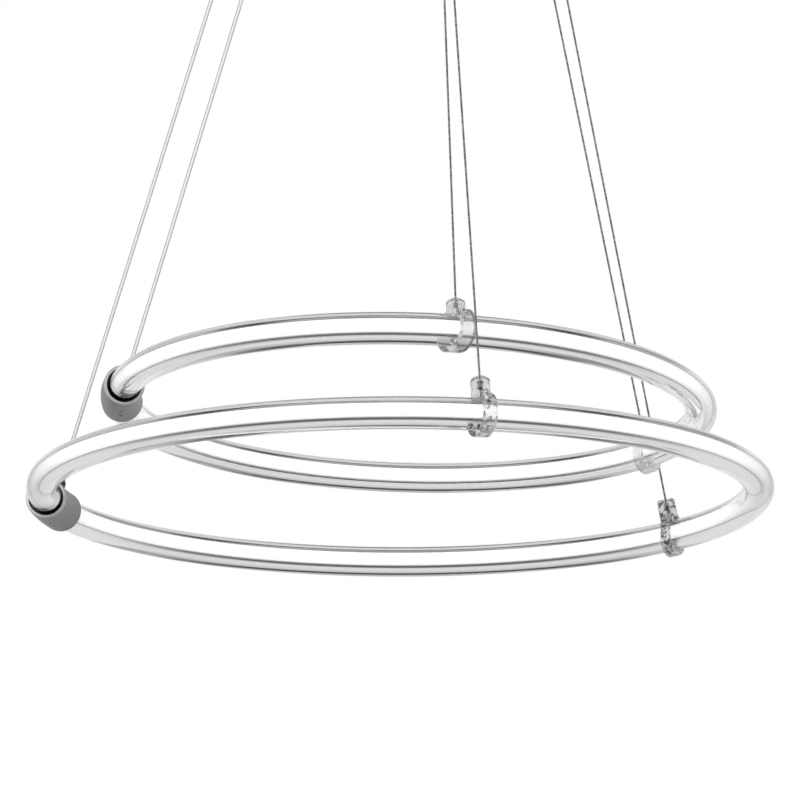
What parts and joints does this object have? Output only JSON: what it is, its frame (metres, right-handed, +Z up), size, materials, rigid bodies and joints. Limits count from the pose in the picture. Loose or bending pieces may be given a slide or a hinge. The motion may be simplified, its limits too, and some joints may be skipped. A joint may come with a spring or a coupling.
{
  "type": "led pendant light",
  "caption": "Pendant light of concentric clear tube rings with a glowing white core, hung level from a round ceiling canopy on thin steel wires and clear power cords.",
  "frame": {"origin": "centre of the bracket's top face, on the ceiling", "axes": "+Z up into the ceiling, +Y away from the viewer of the picture, +X to the right"},
  "size_m": [0.8384, 0.8348, 1.035],
  "materials": {
    "clear_tube": "clear, polished",
    "light_core": "opal white, glowing",
    "smoked_sleeve": "smoked clear",
    "strip_board": "white circuit strip",
    "chip_lens": "yellow phosphor",
    "satin_metal": "satin mid grey",
    "bright_metal": "bright, fine turned",
    "black_plastic": "black moulded",
    "ivory_plastic": "ivory moulded",
    "clear_clip": "clear moulded",
    "steel_wire": "stranded steel",
    "clear_cord": "clear jacket over two twisted leads",
    "dark_steel": "blackened steel",
    "spring_steel": "spring wire",
    "white_paint": "white powder coat",
    "white_plastic": "white moulded",
    "zinc_steel": "zinc plated",
    "brass": "plain brass",
    "lead_jacket": "grey sleeve"
  },
  "bodies": {
    "ceiling_unit": {"bracket": "zinc_steel", "canopy": "white_paint", "canopy_screws": "zinc_steel", "earth_screw": "brass", "driver_case": "white_plastic", "driver_screws": "zinc_steel", "terminal_block": "ivory_plastic", "terminal_screws": "zinc_steel", "mains_leads": "lead_jacket", "gripper_bodies": "bright_metal", "gripper_nuts": "bright_metal", "cord_glands": "black_plastic", "gland_nuts": "black_plastic", "upper_near_spring": "spring_steel", "upper_far_spring": "spring_steel", "lower_near_spring": "spring_steel", "lower_far_spring": "spring_steel"},
    "upper_ring": {"upper_tube": "clear_tube", "upper_sleeve": "smoked_sleeve", "upper_core": "light_core", "upper_strip": "strip_board", "upper_chips": "chip_lens", "upper_collar": "satin_metal", "upper_end_rings": "bright_metal", "upper_bushes": "black_plastic", "upper_joint_plug": "black_plastic", "upper_feed_terminal": "ivory_plastic", "upper_set_screws": "zinc_steel", "upper_cord_grip": "black_plastic", "upper_cord": "clear_cord", "upper_near_clip": "clear_clip", "upper_far_clip": "clear_clip", "upper_clamp_screws": "dark_steel", "upper_wire_stops": "dark_steel", "upper_near_wire": "steel_wire", "upper_far_wire": "steel_wire"},
    "lower_ring": {"lower_tube": "clear_tube", "lower_sleeve": "smoked_sleeve", "lower_core": "light_core", "lower_strip": "strip_board", "lower_chips": "chip_lens", "lower_collar": "satin_metal", "lower_end_rings": "bright_metal", "lower_bushes": "black_plastic", "lower_joint_plug": "black_plastic", "lower_feed_terminal": "ivory_plastic", "lower_set_screws": "zinc_steel", "lower_cord_grip": "black_plastic", "lower_cord": "clear_cord", "lower_near_clip": "clear_clip", "lower_far_clip": "clear_clip", "lower_clamp_screws": "dark_steel", "lower_wire_stops": "dark_steel", "lower_near_wire": "steel_wire", "lower_far_wire": "steel_wire"},
    "upper_near_release": {"upper_near_button": "bright_metal"},
    "upper_far_release": {"upper_far_button": "bright_metal"},
    "lower_near_release": {"lower_near_button": "bright_metal"},
    "lower_far_release": {"lower_far_button": "bright_metal"}
  },
  "joints": [
    {"name": "upper_ring_height", "type": "slide", "parent": "ceiling_unit", "child": "upper_ring", "axis": [0, 0, 1], "range_m": [0, 0.05], "deforming": ["upper_cord", "upper_near_wire", "upper_far_wire"]},
    {"name": "lower_ring_height", "type": "slide", "parent": "ceiling_unit", "child": "lower_ring", "axis": [0, 0, 1], "range_m": [0, 0.25], "deforming": ["lower_cord", "lower_near_wire", "lower_far_wire"]},
    {"name": "upper_near_release", "type": "slide", "parent": "ceiling_unit", "child": "upper_near_release", "axis": [0, 0, 1], "range_m": [0, 0.003], "stiffness_N_per_m": 150, "springref_m": -0.003, "deforming": ["upper_near_spring"]},
    {"name": "upper_far_release", "type": "slide", "parent": "ceiling_unit", "child": "upper_far_release", "axis": [0, 0, 1], "range_m": [0, 0.003], "stiffness_N_per_m": 150, "springref_m": -0.003, "deforming": ["upper_far_spring"]},
    {"name": "lower_near_release", "type": "slide", "parent": "ceiling_unit", "child": "lower_near_release", "axis": [0, 0, 1], "range_m": [0, 0.003], "stiffness_N_per_m": 150, "springref_m": -0.003, "deforming": ["lower_near_spring"]},
    {"name": "lower_far_release", "type": "slide", "parent": "ceiling_unit", "child": "lower_far_release", "axis": [0, 0, 1], "range_m": [0, 0.003], "stiffness_N_per_m": 150, "springref_m": -0.003, "deforming": ["lower_far_spring"]}
  ]
}
